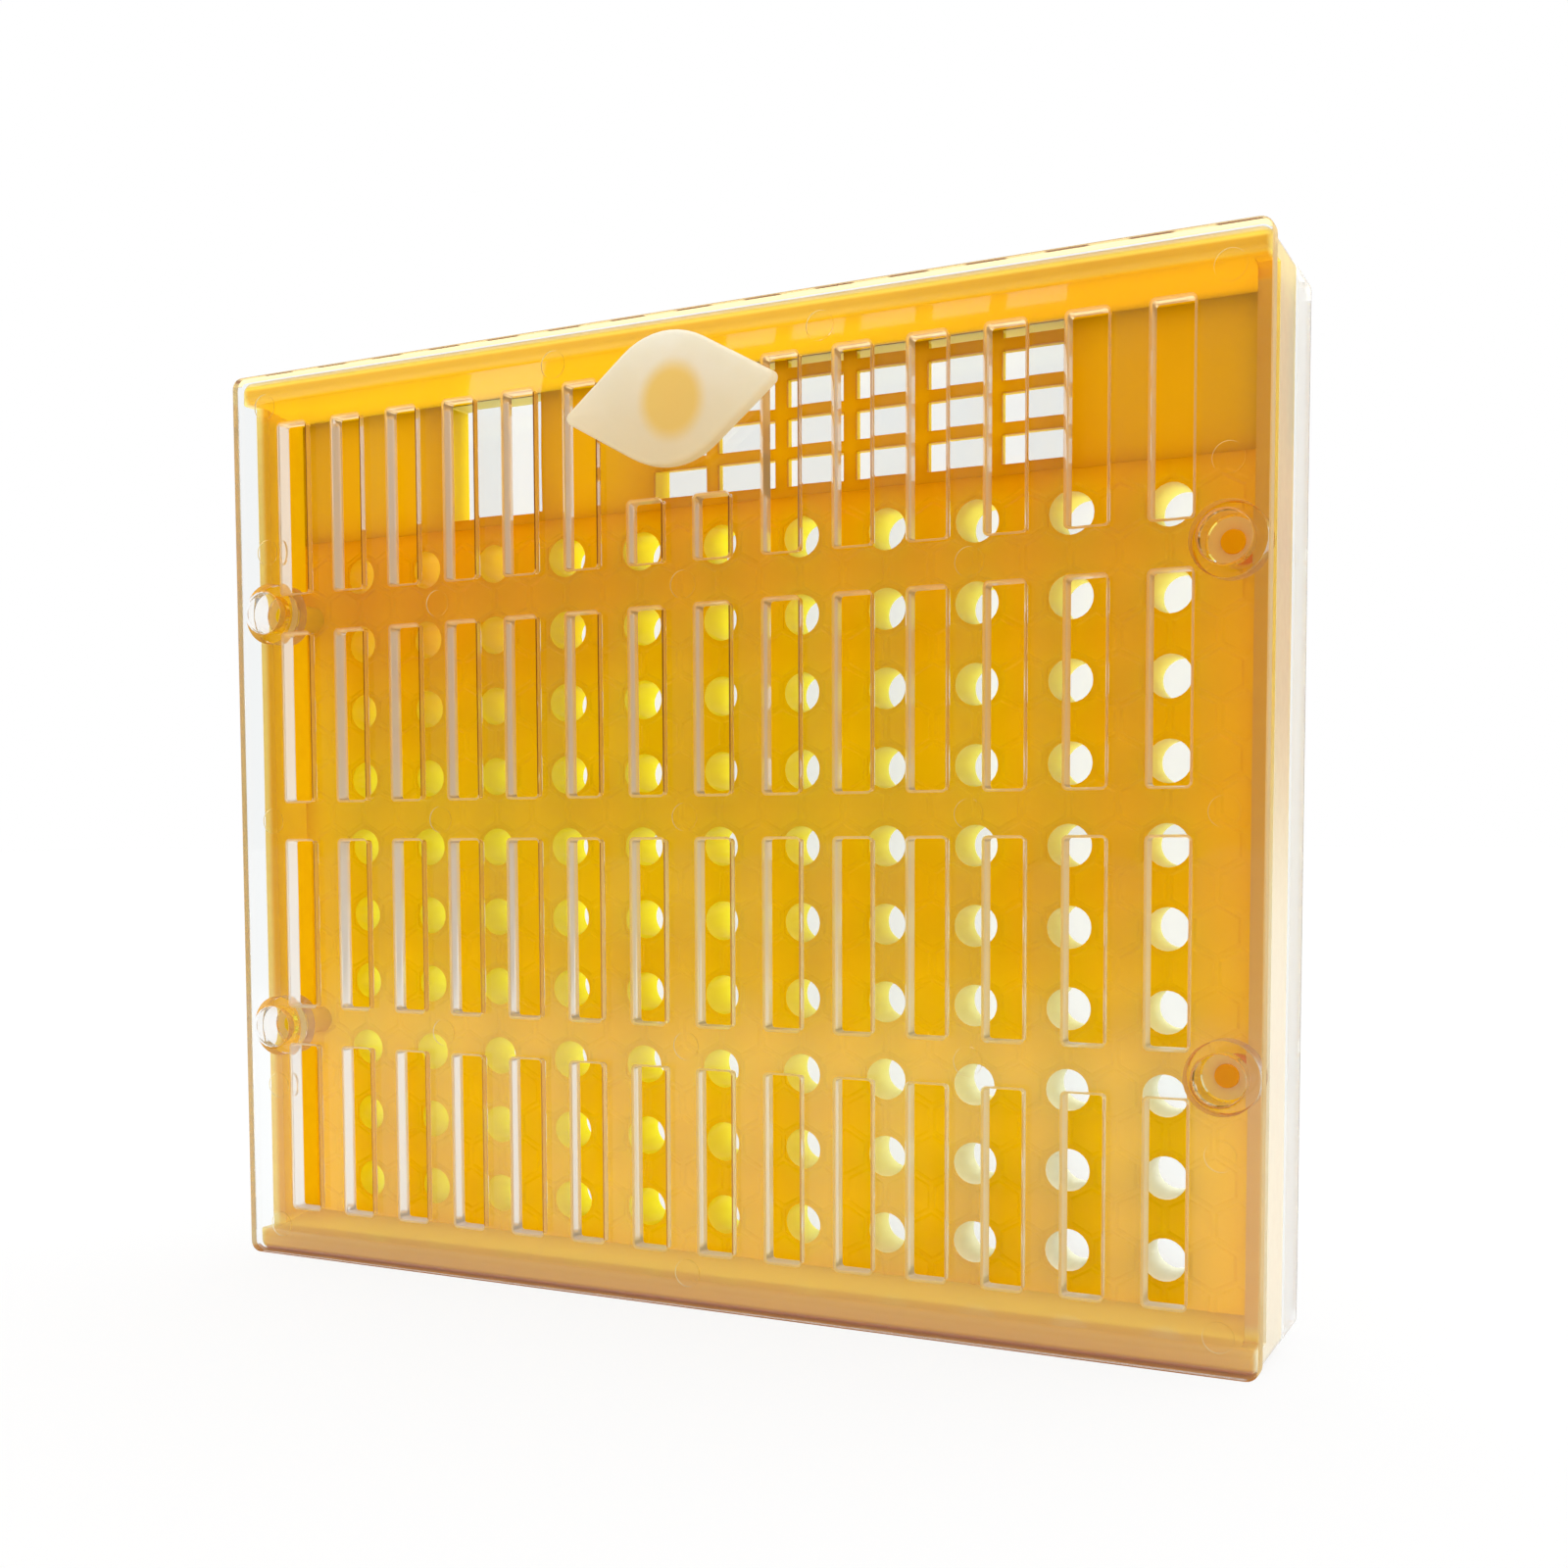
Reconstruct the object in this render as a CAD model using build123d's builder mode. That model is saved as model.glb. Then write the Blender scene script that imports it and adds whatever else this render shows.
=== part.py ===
"""Queen rearing box: a yellow comb body between a slotted front cover and a clear rear cover.

The box stands on its lower edge. X runs along its width, Y from the front to the back and Z up.
Sizes are in millimetres, and depths are measured backwards from the front cover's outer face.
"""
import os

from build123d import *

# Front cover: a flat plate with rows of slots that worker bees pass and the queen can't
cover_width = 129.4
cover_height = 113.6
cover_thickness = 2.1
cover_corner = 1.4
slot_width = 4.1
slot_height = 21.25
slot_bar = 4.39
slot_row_gap = 5.15
slot_corner = 0.35
seat_gap = 0.05
side_band = 7.0
end_band = 6.0
pin_mark_diameter = 3.2
pin_mark_depth = 0.2
pin_mark_margin = 3.8

# Hollow studs of the front cover, which sit on the pegs of the body's posts
stud_diameter = 7.8
stud_bore = 5.2
stud_floor = 1.0
stud_margin = 0.4
stud_spread = 0.35
peg_diameter = 2.4
peg_clearance = 0.05
peg_proud = 0.2

# Plug for the hole through which the queen is let in
plug_length = 27.4
plug_height = 18.6
plug_head_thickness = 2.2
plug_tip_radius = 0.8
plug_side_radius = 9.0
plug_edge_radius = 0.6
plug_turn = 4.5
plug_centre_drop = 10.05
plug_shift = -0.45
plug_slot_gap = 1.55
stem_diameter = 9.6
stem_wall = 0.7
stem_reach = 3.9
stem_clearance = 0.08

# Comb body: its walls, and the comb plate with sockets for the cell cups
body_inset = 0.3
body_corner = 1.4
side_wall = 2.0
top_wall = 2.8
bottom_wall = 2.8
wall_ramp = 1.2
side_wall_setback = 3.0
wall_edge_radius = 1.0
chamber_depth = 9.03
comb_plate_thickness = 2.0
skirt_length = 0.67
cell_width = 5.27
cell_row_share = 0.844
ridge_width = 0.4
ridge_height = 0.3
socket_bore = 4.7
socket_wall = 1.15
socket_length = 5.0
socket_floor_gap = 2.54
post_clearance = 0.3

# Upper panel of the body, with a plain window and a barred vent that reach up to the top wall's ramp
opening_height = 14.45
panel_seam_drop = 1.2
opening_rim_wall = 1.2
opening_rim_depth = 4.0
window_left = -38.47
window_width = 14.1
vent_left = -8.55
vent_columns = 6
vent_cell_width = 7.06
vent_bar_width = 1.5
vent_cell_height = 3.2
vent_bar_height = 1.3
vent_bar_thickness = 1.3

# Rear cover: a clear tray whose pillars sit on pegs behind the comb plate
rear_inset = 0.1
rear_depth = 8.85
rear_wall = 1.8
rear_plate = 2.0
rear_corner = 1.6
rear_edge_radius = 0.8
pillar_clearance = 0.3
pillar_hole_depth = 3.0
rear_peg_length = 1.6

# Slot pattern of the front cover
slot_pitch_x = slot_width + slot_bar
slot_pitch_z = slot_height + slot_row_gap
slot_columns = 2 * int((cover_width - 2 * side_band + slot_bar) / slot_pitch_x / 2)
slot_rows = int((cover_height - 2 * end_band + slot_row_gap) / slot_pitch_z)
cover_middle = cover_height / 2
top_slot_z = cover_middle + (slot_rows - 1) / 2 * slot_pitch_z
plug_z = cover_height - plug_centre_drop
short_slot_top = plug_z - plug_height / 2 - plug_slot_gap
short_slot_fill = top_slot_z + slot_height / 2 - short_slot_top
stud_x = cover_width / 2 - stud_margin - stud_diameter / 2
stud_rise = (slot_rows / 2 - 1) * slot_pitch_z + stud_spread

# Body box and depths
body_width = cover_width - 2 * body_inset
body_height = cover_height - body_inset
inner_width = body_width - 2 * side_wall
inner_top = body_height - top_wall
inner_height = inner_top - bottom_wall
inner_middle = bottom_wall + inner_height / 2
opening_top = inner_top - wall_ramp
opening_sill_height = opening_top - opening_height
body_front_depth = cover_thickness + seat_gap
stud_back_depth = cover_thickness + side_wall_setback
side_wall_depth = stud_back_depth + seat_gap
comb_depth = cover_thickness + chamber_depth
comb_back_depth = comb_depth + comb_plate_thickness
body_back_depth = comb_back_depth + skirt_length
rear_front_depth = body_back_depth + seat_gap
pillar_front_depth = comb_back_depth + seat_gap
box_depth = rear_front_depth + rear_depth
front_y = (seat_gap + plug_head_thickness - box_depth) / 2
post_diameter = inner_width - 2 * stud_x - 2 * post_clearance
rear_width = cover_width - 2 * rear_inset
rear_height = body_height
pillar_diameter = min(inner_width, rear_width - 2 * rear_wall) - 2 * stud_x - 2 * pillar_clearance

# Comb pattern: a socket in every second cell of every second row
cell_row_pitch = cell_width * cell_row_share
socket_pitch_x = 2 * cell_width
socket_pitch_z = 2 * cell_row_pitch
socket_outer = socket_bore + 2 * socket_wall
panel_seam = opening_sill_height - panel_seam_drop
lowest_row_z = bottom_wall + socket_floor_gap + socket_outer / 2
socket_columns = 1 + 2 * int((inner_width / 2 - socket_outer / 2) / socket_pitch_x)
socket_rows = 1 + int((panel_seam - lowest_row_z - socket_outer / 2) / socket_pitch_z)
socket_middle = lowest_row_z + (socket_rows - 1) / 2 * socket_pitch_z
rim_inner_radius = (cell_width - ridge_width) / 2
rim_outer_radius = (cell_width + ridge_width) / 2

# Vent bars
vent_width = vent_columns * vent_cell_width + (vent_columns - 1) * vent_bar_width
vent_rows = int(opening_height / (vent_cell_height + vent_bar_height))


def at_depth(depth):
    """Plane across the box at a depth, with X to the right and Z up; a negative extrude goes back."""
    return Plane.XZ.offset(-(front_y + depth))


def stud_places():
    """Centres of the four studs, beside the gaps between the outer slot rows."""
    return [(sx * stud_x, cover_middle + sz * stud_rise) for sx in (-1, 1) for sz in (-1, 1)]


def pin_mark_places():
    """Centres of the ejector marks, in the plain bands between and around the slots."""
    top_z = cover_height - pin_mark_margin
    side_rise = stud_rise + stud_diameter
    edge_heights = (pin_mark_margin, cover_middle - side_rise, cover_middle, cover_middle + side_rise, top_z)
    places = [(sx * stud_x, z) for sx in (-1, 1) for z in edge_heights]
    row_heights = [cover_middle + row * slot_pitch_z for row in (-1, 0, 1)]
    places += [(column * 4 * slot_pitch_x, z) for column in (-1, 0, 1) for z in row_heights]
    places += [(-2 * slot_pitch_x, top_z), (2 * slot_pitch_x, top_z), (0, pin_mark_margin)]
    return places


os.makedirs("parts", exist_ok=True)

# Front cover with its slots, studs, plug hole and ejector marks
with BuildPart() as front_cover:
    with BuildSketch(at_depth(0)):
        with Locations((0, cover_middle)):
            RectangleRounded(cover_width, cover_height, cover_corner)
            with GridLocations(slot_pitch_x, slot_pitch_z, slot_columns, slot_rows):
                RectangleRounded(slot_width, slot_height, slot_corner, mode=Mode.SUBTRACT)
        with Locations((0, short_slot_top + short_slot_fill / 2)):
            with GridLocations(slot_pitch_x, slot_pitch_z, 2, 1):
                Rectangle(slot_width, short_slot_fill)
        with Locations(*stud_places()):
            Circle(stud_diameter / 2)
            Circle(stud_bore / 2, mode=Mode.SUBTRACT)
        with Locations((plug_shift, plug_z)):
            Circle(stem_diameter / 2 + stem_clearance, mode=Mode.SUBTRACT)
    extrude(amount=-cover_thickness)
    with BuildSketch(at_depth(cover_thickness)):
        with Locations(*stud_places()):
            Circle(stud_diameter / 2)
            Circle(stud_bore / 2, mode=Mode.SUBTRACT)
    extrude(amount=-side_wall_setback)
    with BuildSketch(at_depth(stud_back_depth)):
        with Locations(*stud_places()):
            Circle(stud_diameter / 2)
            Circle(peg_diameter / 2 + peg_clearance, mode=Mode.SUBTRACT)
    extrude(amount=stud_floor)
    with BuildSketch(at_depth(cover_thickness)):
        with Locations(*pin_mark_places()):
            Circle(pin_mark_diameter / 2)
    extrude(amount=pin_mark_depth, mode=Mode.SUBTRACT)
front_cover.part.label = "front_cover"
export_step(front_cover.part, "parts/front_cover.step")

# Queen plug: a leaf-shaped head and a hollow stem, turned a little as it was pushed in
plug_plane = Plane(at_depth(-seat_gap).location * Location((plug_shift, plug_z, 0), (0, 0, plug_turn)))
with BuildPart() as queen_plug:
    with BuildSketch(plug_plane) as leaf:
        with BuildLine():
            right_tip = (plug_length / 2, 0)
            upper_side = (0, plug_height / 2)
            Polyline(right_tip, upper_side, (-plug_length / 2, 0), (0, -plug_height / 2), close=True)
        make_face()
        tips = leaf.vertices().group_by(Axis.X)
        fillet(tips[0] + tips[-1], plug_tip_radius)
        sides = leaf.vertices().group_by(Axis.Y)
        fillet(sides[0] + sides[-1], plug_side_radius)
    extrude(amount=plug_head_thickness)
    fillet(queen_plug.faces().sort_by(Axis.Y)[0].edges(), plug_edge_radius)
    with BuildSketch(plug_plane):
        Circle(stem_diameter / 2)
        Circle(stem_diameter / 2 - stem_wall, mode=Mode.SUBTRACT)
    extrude(amount=-(seat_gap + cover_thickness + stem_reach))
queen_plug.part.label = "queen_plug"
export_step(queen_plug.part, "parts/queen_plug.step")

# Walls of the comb body; the side walls start further back than the top and bottom walls, which have ramps
# that make them thicker towards the comb plate
with BuildPart() as body_walls:
    with BuildSketch(at_depth(body_front_depth)):
        with Locations((0, body_height / 2)):
            RectangleRounded(body_width, body_height, body_corner)
        with Locations((0, inner_middle)):
            Rectangle(inner_width, inner_height, mode=Mode.SUBTRACT)
    extrude(amount=-(body_back_depth - body_front_depth))
    with BuildSketch(at_depth(body_front_depth)):
        with Locations((0, inner_middle)):
            Rectangle(cover_width, inner_height)
    extrude(amount=-(side_wall_depth - body_front_depth), mode=Mode.SUBTRACT)
    front_edges = body_walls.edges().filter_by(Axis.Y, reverse=True).group_by(Axis.Y)
    fillet(front_edges[0], wall_edge_radius)
    ramp_front_y = front_y + body_front_depth + wall_edge_radius
    ramp_back_y = front_y + comb_depth
    with BuildSketch(Plane.YZ.offset(-inner_width / 2)):
        for wall_z, ramp_z in ((inner_top, opening_top), (bottom_wall, bottom_wall + wall_ramp)):
            with BuildLine():
                Polyline((ramp_front_y, wall_z), (ramp_back_y, wall_z), (ramp_back_y, ramp_z), close=True)
            make_face()
    extrude(amount=inner_width)
body_walls.part.label = "body_walls"
export_step(body_walls.part, "parts/body_walls.step")

# Comb plate with a tube behind each hole, into which a cell cup is pushed
with BuildPart() as comb_plate:
    with BuildSketch(at_depth(comb_depth)):
        with Locations((0, (bottom_wall + panel_seam) / 2)):
            Rectangle(inner_width, panel_seam - bottom_wall)
        with Locations((0, socket_middle)):
            with GridLocations(socket_pitch_x, socket_pitch_z, socket_columns, socket_rows):
                Circle(socket_bore / 2, mode=Mode.SUBTRACT)
    extrude(amount=-comb_plate_thickness)
    with BuildSketch(at_depth(comb_back_depth)):
        with Locations((0, socket_middle)):
            with GridLocations(socket_pitch_x, socket_pitch_z, socket_columns, socket_rows):
                Circle(socket_outer / 2)
                Circle(socket_bore / 2, mode=Mode.SUBTRACT)
    extrude(amount=-socket_length)
comb_plate.part.label = "comb_plate"
export_step(comb_plate.part, "parts/comb_plate.step")

# Raised hexagonal rims of the socket cells, on the front of the comb plate
with BuildPart() as cell_rims:
    with BuildSketch(at_depth(comb_depth)):
        with Locations((0, socket_middle)):
            with GridLocations(socket_pitch_x, socket_pitch_z, socket_columns, socket_rows):
                RegularPolygon(rim_outer_radius, 6, major_radius=False, rotation=30)
                RegularPolygon(rim_inner_radius, 6, major_radius=False, rotation=30, mode=Mode.SUBTRACT)
    extrude(amount=ridge_height)
cell_rims.part.label = "cell_rims"
export_step(cell_rims.part, "parts/cell_rims.step")

# Upper panel: a plate with two rimmed openings, one of them barred
with BuildPart() as vent_panel:
    openings = ((window_left, window_width), (vent_left, vent_width))
    with BuildSketch(at_depth(comb_depth)):
        with Locations((0, (panel_seam + inner_top) / 2)):
            Rectangle(inner_width, inner_top - panel_seam)
        for left, width in openings:
            with Locations((left + width / 2, opening_sill_height + opening_height / 2)):
                Rectangle(width, opening_height, mode=Mode.SUBTRACT)
    extrude(amount=-comb_plate_thickness)
    with BuildSketch(at_depth(comb_depth)):
        for left, width in openings:
            rim_height = inner_top - opening_sill_height + opening_rim_wall
            with Locations((left + width / 2, inner_top - rim_height / 2)):
                Rectangle(width + 2 * opening_rim_wall, rim_height)
            with Locations((left + width / 2, opening_sill_height + opening_height / 2)):
                Rectangle(width, opening_height, mode=Mode.SUBTRACT)
    extrude(amount=-opening_rim_depth)
    with BuildSketch(at_depth(comb_depth)):
        for column in range(1, vent_columns):
            bar_x = vent_left + column * (vent_cell_width + vent_bar_width) - vent_bar_width / 2
            with Locations((bar_x, opening_sill_height + opening_height / 2)):
                Rectangle(vent_bar_width, opening_height)
        for row in range(1, vent_rows + 1):
            bar_z = opening_sill_height + row * (vent_cell_height + vent_bar_height) - vent_bar_height / 2
            with Locations((vent_left + vent_width / 2, bar_z)):
                Rectangle(vent_width, vent_bar_height)
    extrude(amount=-vent_bar_thickness)
vent_panel.part.label = "vent_panel"
export_step(vent_panel.part, "parts/vent_panel.step")

# Posts in front of the comb plate, each ending in the peg that holds a stud of the front cover
with BuildPart() as cover_posts:
    with BuildSketch(at_depth(comb_depth)):
        with Locations(*stud_places()):
            Circle(post_diameter / 2)
    extrude(amount=comb_depth - side_wall_depth)
    with BuildSketch(at_depth(side_wall_depth)):
        with Locations(*stud_places()):
            Circle(peg_diameter / 2)
    extrude(amount=seat_gap + stud_floor + peg_proud)
cover_posts.part.label = "cover_posts"
export_step(cover_posts.part, "parts/cover_posts.step")

# Pegs behind the comb plate for the rear cover's pillars
with BuildPart() as rear_pegs:
    with BuildSketch(at_depth(comb_back_depth)):
        with Locations(*stud_places()):
            Circle(peg_diameter / 2)
    extrude(amount=-rear_peg_length)
rear_pegs.part.label = "rear_pegs"
export_step(rear_pegs.part, "parts/rear_pegs.step")

# Rear cover: a tray with four drilled pillars
with BuildPart() as rear_cover:
    with BuildSketch(at_depth(rear_front_depth)):
        with Locations((0, rear_height / 2)):
            RectangleRounded(rear_width, rear_height, rear_corner)
    extrude(amount=-rear_depth)
    with BuildSketch(at_depth(rear_front_depth)):
        with Locations((0, rear_height / 2)):
            cavity_corner = rear_corner - rear_wall / 2
            RectangleRounded(rear_width - 2 * rear_wall, rear_height - 2 * rear_wall, cavity_corner)
    extrude(amount=-(rear_depth - rear_plate), mode=Mode.SUBTRACT)
    with BuildSketch(at_depth(pillar_front_depth)):
        with Locations(*stud_places()):
            Circle(pillar_diameter / 2)
    extrude(amount=-(box_depth - rear_plate - pillar_front_depth))
    with BuildSketch(at_depth(pillar_front_depth)):
        with Locations(*stud_places()):
            Circle(peg_diameter / 2 + peg_clearance)
    extrude(amount=-pillar_hole_depth, mode=Mode.SUBTRACT)
    fillet(rear_cover.faces().sort_by(Axis.Y)[-1].edges(), rear_edge_radius)
rear_cover.part.label = "rear_cover"
export_step(rear_cover.part, "parts/rear_cover.step")
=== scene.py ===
"""Looks of the queen rearing box: amber comb body, clear covers and a milky plug in soft light from behind.

Lengths in the values and functions are millimetres; meshes are written in metres, in the part's own frame.
A depth is measured backwards from the front cover's outer face.
"""

import bmesh
import bpy
import numpy as np
from mathutils.geometry import tessellate_polygon
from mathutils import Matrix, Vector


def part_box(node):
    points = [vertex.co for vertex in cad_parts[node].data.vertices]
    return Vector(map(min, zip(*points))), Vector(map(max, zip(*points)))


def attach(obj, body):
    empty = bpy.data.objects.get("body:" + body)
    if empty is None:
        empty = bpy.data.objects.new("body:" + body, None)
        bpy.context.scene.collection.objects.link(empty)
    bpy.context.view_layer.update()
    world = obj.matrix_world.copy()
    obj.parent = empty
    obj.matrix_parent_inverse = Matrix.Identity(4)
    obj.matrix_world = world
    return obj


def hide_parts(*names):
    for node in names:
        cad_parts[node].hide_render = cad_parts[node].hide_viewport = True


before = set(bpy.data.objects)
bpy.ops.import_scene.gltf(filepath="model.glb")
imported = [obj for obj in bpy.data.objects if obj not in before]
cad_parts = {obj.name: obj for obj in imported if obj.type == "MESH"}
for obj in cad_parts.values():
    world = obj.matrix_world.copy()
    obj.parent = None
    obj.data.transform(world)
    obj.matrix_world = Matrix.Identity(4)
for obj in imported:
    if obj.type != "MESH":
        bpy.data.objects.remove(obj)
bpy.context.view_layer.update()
MM = 0.001

# Camera, fitted to the photograph: its place, its turns in degrees and the offset of its frame
camera_place = (98.057, -195.335, 55.569)
camera_turns = (86.330, 0.435, 28.327)
camera_lens = 42.077
camera_shift = (0.0753, 0.1029)

# Front cover: plate, slots, hollow studs, plug hole and ejector marks
cover_thickness = 2.1
cover_corner = 1.4
cover_rim_front_round = 0.15
cover_rim_back_round = 0.4
cover_edge_round = 0.3
cover_back_round = 0.1
slot_width = 4.1
slot_height = 21.25
slot_corner = 0.35
slot_pitch = np.array((8.49, 26.4))
slot_columns = 14
slot_rows = 4
short_slot_height = 6.925
stud_x = 60.4
stud_rise = 26.75
stud_radius = 3.85
stud_bore_radius = 2.6
stud_hole_radius = 1.25
stud_floor_depth = 4.1
stud_back_depth = 5.1
plug_hole_radius = 4.88
pin_mark_radius = 1.6
pin_mark_depth = 0.2
pin_mark_margin = 3.8
pin_mark_rise = 7.8

# Plug: leaf-shaped head and hollow stem
plug_half_length = 13.7
plug_half_height = 9.3
plug_tip_round = 0.8
plug_side_round = 9.0
plug_edge_round = 0.7
plug_crown = 0.25
plug_turn = 4.5
plug_drop = 10.05
plug_shift = -0.45
stem_radius = 4.8
stem_bore_radius = 4.1
# Painted amber glow on the plug over its stem: its offset from the stem's axis and its flatness
oval_shift = (1.0, -0.5)
oval_flatness = 0.92
seat_gap = 0.05

# Comb: honeycomb relief with a socket in every second cell of every second row
cell_width = 5.27
cell_row_pitch = cell_width * 0.844
ridge_width = 0.4
ridge_height = 0.15
ridge_foot = 0.3
socket_columns = 11
socket_rows = 10
lowest_socket_row = 8.84
socket_bore_radius = 2.35
socket_tube_radius = 3.5
socket_tube_length = 5.0
socket_edge_round = 0.15
socket_lip = 0.03
socket_sides = 24
comb_gap = 0.02

# Meshes: steps of rounded edges and corners, sides of round outlines, and how near points are welded
edge_steps = 5
corner_steps = 6
leaf_steps = 10
hole_sides = 48
bore_sides = 64
weld_distance = 0.002

# Materials of the front cover and of the comb, in the order of their slots
PLAIN, SLOT_WALL, STUD_FLOOR, RIM, SLOT_EDGE, STUD_SIDE = range(6)
PLATE, TUBE = range(2)

# Studio: how far the floor reaches, where mirrors see it fade, and the side that the light comes from
floor_reach = 4000
floor_fade = (-460, -200)
bright_side = (0.0, 0.88, 0.48)


def node_box(node):
    """Lowest and highest corner of a solid of the part, in millimetres."""
    return [np.array(corner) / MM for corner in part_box(node)]


cover_low, cover_high = node_box("front_cover")
cover_width, cover_height = (cover_high - cover_low)[[0, 2]]
cover_middle = cover_height / 2
front_y = cover_low[1]
plug_centre = np.array((plug_shift, cover_height - plug_drop))


def rounded_polygon(corners, radii, steps):
    """Outline with round corners: at each corner, an arc of the given radius touches both of its edges."""
    corners = np.asarray(corners, float)
    to_last = np.roll(corners, 1, axis=0) - corners
    to_next = np.roll(corners, -1, axis=0) - corners
    to_last /= np.linalg.norm(to_last, axis=1, keepdims=True)
    to_next /= np.linalg.norm(to_next, axis=1, keepdims=True)
    half = np.arccos(np.clip((to_last * to_next).sum(axis=1), -1, 1)) / 2
    middle = to_last + to_next
    middle /= np.linalg.norm(middle, axis=1, keepdims=True)
    radii = np.broadcast_to(radii, half.shape)
    centres = corners + middle * (radii / np.sin(half))[:, None]
    across = np.column_stack((middle[:, 1], -middle[:, 0]))
    side = np.sign((across * to_last).sum(axis=1))
    sweep = np.linspace(1, -1, steps + 1) * (np.pi / 2 - half)[:, None] * side[:, None]
    arms = -middle[:, None] * np.cos(sweep)[..., None] + across[:, None] * np.sin(sweep)[..., None]
    return (centres[:, None] + arms * radii[:, None, None]).reshape(-1, 2)


def rectangle(width, height, radius, steps=4):
    """Outline of a rectangle with round corners, counter-clockwise about the origin."""
    corners = np.array([(1, 1), (-1, 1), (-1, -1), (1, -1)]) * (width / 2, height / 2)
    return rounded_polygon(corners, radius, steps)


def circle(radius, count, start=0.0):
    """Outline of a circle, counter-clockwise about the origin."""
    angles = start + np.arange(count) * 2 * np.pi / count
    return radius * np.column_stack((np.cos(angles), np.sin(angles)))


def insets(outlines):
    """Per outline point, the step to the left of travel that moves both of its edges by one millimetre."""
    edges = np.roll(outlines, -1, axis=-2) - outlines
    normals = np.stack((-edges[..., 1], edges[..., 0]), axis=-1)
    normals /= np.linalg.norm(normals, axis=-1, keepdims=True)
    before = np.roll(normals, 1, axis=-2)
    return (before + normals) / (1 + (before * normals).sum(axis=-1, keepdims=True))


def carried(outlines, profile):
    """A profile of (inset, depth) carried round each outline, with material on the left of travel.

    A point is its outline's point, moved inwards by the profile's inset and backwards by its depth.
    """
    outlines = np.asarray(outlines, float)
    outlines = outlines.reshape(-1, *outlines.shape[-2:])
    profile = np.asarray(profile, float)
    flat = outlines[:, None] + profile[None, :, None, :1] * insets(outlines)[:, None]
    depth = np.broadcast_to(profile[None, :, None, 1:], flat.shape[:3] + (1,))
    points = np.concatenate((flat[..., :1], depth, flat[..., 1:]), axis=-1)
    count, rows, columns = flat.shape[:3]
    copy, row, column = np.ogrid[:count, :rows - 1, :columns]
    after = (column + 1) % columns
    first = (copy * rows + row) * columns
    corners = (first + column, first + columns + column, first + columns + after, first + after)
    faces = np.stack(np.broadcast_arrays(*corners), axis=-1).reshape(-1, 4)
    return points.reshape(-1, 3), [faces]


def filled(loops, depth, facing):
    """Flat triangles between a loop and its holes' loops; facing is -1 to the front and 1 to the back."""
    points = np.concatenate(loops)
    faces = np.array(tessellate_polygon([np.insert(loop, 2, 0.0, axis=1).tolist() for loop in loops]))
    a, b, c = (points[faces[:, i]] for i in range(3))
    turn = (b - a)[:, 0] * (c - a)[:, 1] - (b - a)[:, 1] * (c - a)[:, 0]
    wrong = turn * facing > 0
    faces[wrong] = faces[wrong][:, ::-1]
    deep = np.full((len(points), 1), float(depth))
    return np.concatenate((points[:, :1], deep, points[:, 1:]), axis=1), [faces]


def edge_profile(back, front_round, back_round):
    """Wall from the front face to a depth, with both edges rounded by quarter circles."""
    turn = np.linspace(0, np.pi / 2, edge_steps + 1)
    arc = np.column_stack((1 - np.sin(turn), 1 - np.cos(turn)))
    return np.concatenate((arc * front_round, (arc * back_round)[::-1] * (1, -1) + (0, back)))


def placed(outline, places):
    """Copies of an outline at each place."""
    return np.asarray(outline)[None] + np.asarray(places, float).reshape(-1, 1, 2)


def make_piece(name, parts, materials, body, nodes, sharp=8.0):
    """Welds the parts to one mesh that rides on a body; each part is points, arrays of faces and a material
    slot.

    sharp is the angle between faces, in degrees, from which their edge is drawn hard.
    """
    starts = np.cumsum([0] + [len(points) for points, _, _ in parts])
    points = np.concatenate([points for points, _, _ in parts])
    arrays = [array + start for (_, faces, _), start in zip(parts, starts) for array in faces]
    faces = [face for array in arrays for face in array.tolist()]
    numbers = np.concatenate([np.full(sum(map(len, faces)), material_slot) for _, faces, material_slot in parts])
    mesh = bpy.data.meshes.new(name)
    mesh.from_pydata(((points + (0, front_y, 0)) * MM).tolist(), [], faces)
    mesh.polygons.foreach_set("material_index", numbers.astype(np.int32))
    welded = bmesh.new()
    welded.from_mesh(mesh)
    bmesh.ops.remove_doubles(welded, verts=welded.verts, dist=weld_distance * MM)
    bmesh.ops.dissolve_degenerate(welded, edges=welded.edges, dist=weld_distance / 2 * MM)
    welded.to_mesh(mesh)
    welded.free()
    mesh.polygons.foreach_set("use_smooth", np.ones(len(mesh.polygons), bool))
    mesh.set_sharp_from_angle(angle=np.radians(sharp))
    for material in materials:
        mesh.materials.append(material)
    piece = bpy.data.objects.new(name, mesh)
    bpy.context.collection.objects.link(piece)
    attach(piece, body)
    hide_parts(*nodes)
    return piece


def slot_outlines():
    """Clockwise outlines of the cover's slots: plain ones, and two short ones under the plug."""
    steps = np.stack(np.meshgrid(np.arange(slot_columns), np.arange(slot_rows)), axis=-1).reshape(-1, 2)
    places = (steps - (np.array((slot_columns, slot_rows)) - 1) / 2) * slot_pitch + (0, cover_middle)
    under = (steps[:, 1] == slot_rows - 1) & (abs(places[:, 0]) < slot_pitch[0])
    plain = rectangle(slot_width, slot_height, slot_corner)[::-1]
    short = rectangle(slot_width, short_slot_height, slot_corner)[::-1]
    drop = np.array((0, (short_slot_height - slot_height) / 2))
    return [*placed(plain, places[~under]), *placed(short, places[under] + drop)]


def stud_places():
    """Centres of the four studs."""
    return np.array([(side * stud_x, cover_middle + up * stud_rise) for side in (-1, 1) for up in (-1, 1)])


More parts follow.
